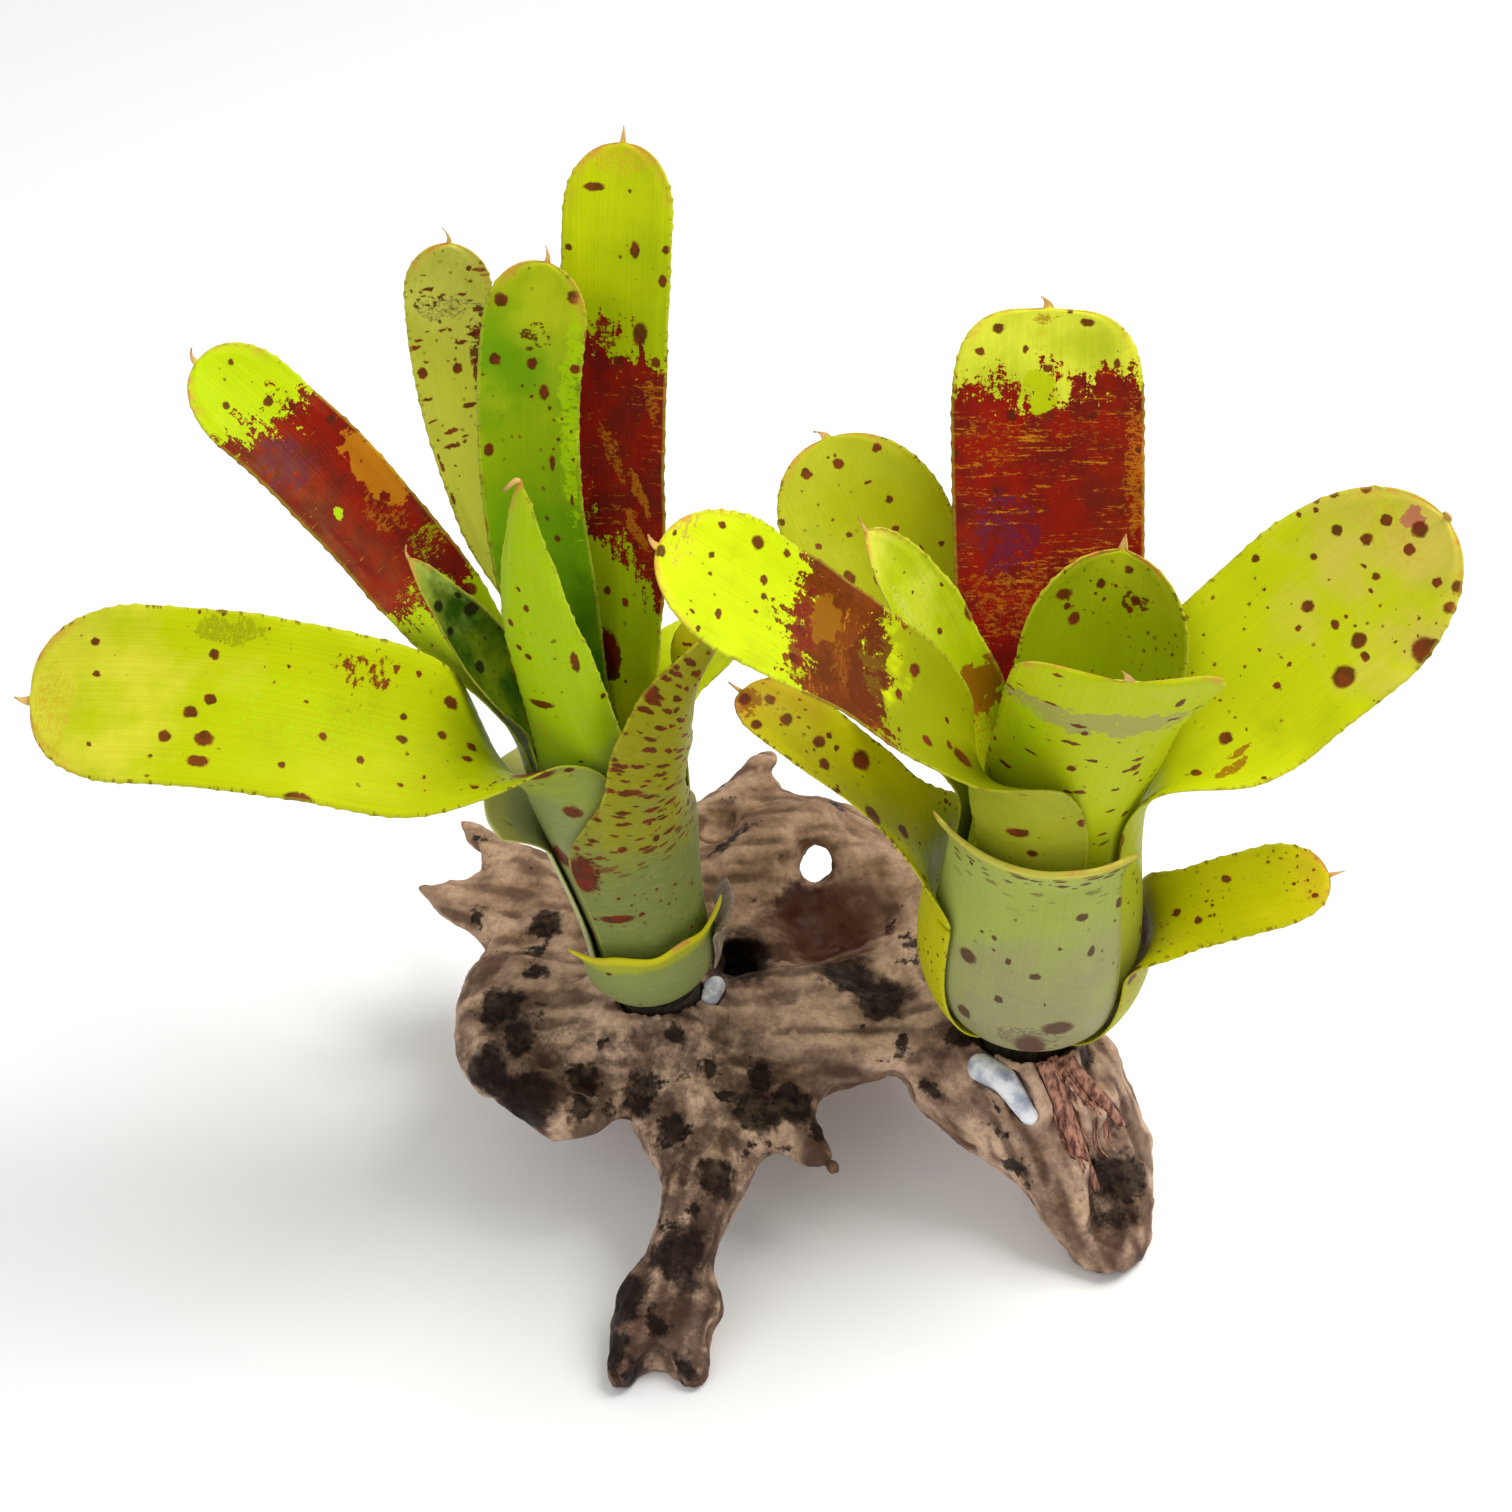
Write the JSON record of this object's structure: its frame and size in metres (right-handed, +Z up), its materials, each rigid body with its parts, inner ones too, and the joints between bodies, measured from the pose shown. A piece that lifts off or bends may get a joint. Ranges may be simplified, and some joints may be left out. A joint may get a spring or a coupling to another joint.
{
  "type": "neoregelia bromeliad rosettes mounted on driftwood",
  "caption": "Small neoregelia rosettes with spotted and red-banded strap leaves over nested leaf sheaths, held by roots and glue on a hollowed driftwood piece that stands on its feet.",
  "frame": {"origin": "on the surface that the driftwood stands on, under the middle of the whole object's box", "axes": "+Z up; +X to the right along the row of the plants, the longest way across; -Y towards the side that the picture shows"},
  "size_m": [0.2636, 0.1448, 0.2136],
  "materials": {
    "driftwood_brown": "weathered, blotched dark, damp in places",
    "stem_brown": "dull, fibrous",
    "root_brown": "dull, fibrous",
    "glue_pale": "glossy",
    "bract_papery": "dry, papery",
    "leaf_green": "waxy yellow-green with maroon spots",
    "leaf_banded": "waxy, yellow-green with a dark red band"
  },
  "bodies": {
    "root": {"driftwood": "driftwood_brown", "left_stem": "stem_brown", "right_stem": "stem_brown", "right_roots": "root_brown", "right_glue": "glue_pale", "left_glue": "glue_pale", "left_dried_bract": "bract_papery", "left_leaf_trimmed_base": "leaf_green", "left_leaf_folded_right": "leaf_green", "left_leaf_outer_sheath": "leaf_green", "left_leaf_right_back": "leaf_green", "left_leaf_front_long": "leaf_green", "left_leaf_banded_side": "leaf_banded", "left_leaf_tall_banded": "leaf_banded", "left_leaf_front_curled": "leaf_green", "left_leaf_narrow_back": "leaf_green", "left_leaf_inner_left": "leaf_green", "left_leaf_centre": "leaf_green", "right_leaf_low_side": "leaf_green", "right_leaf_low_left": "leaf_green", "right_leaf_trimmed_front": "leaf_green", "right_leaf_wide_side": "leaf_green", "right_leaf_banded_left": "leaf_banded", "right_leaf_front_cup": "leaf_green", "right_leaf_back_round": "leaf_green", "right_leaf_tall_banded": "leaf_banded", "right_leaf_inner_left": "leaf_green", "right_leaf_centre": "leaf_green"}
  },
  "joints": []
}
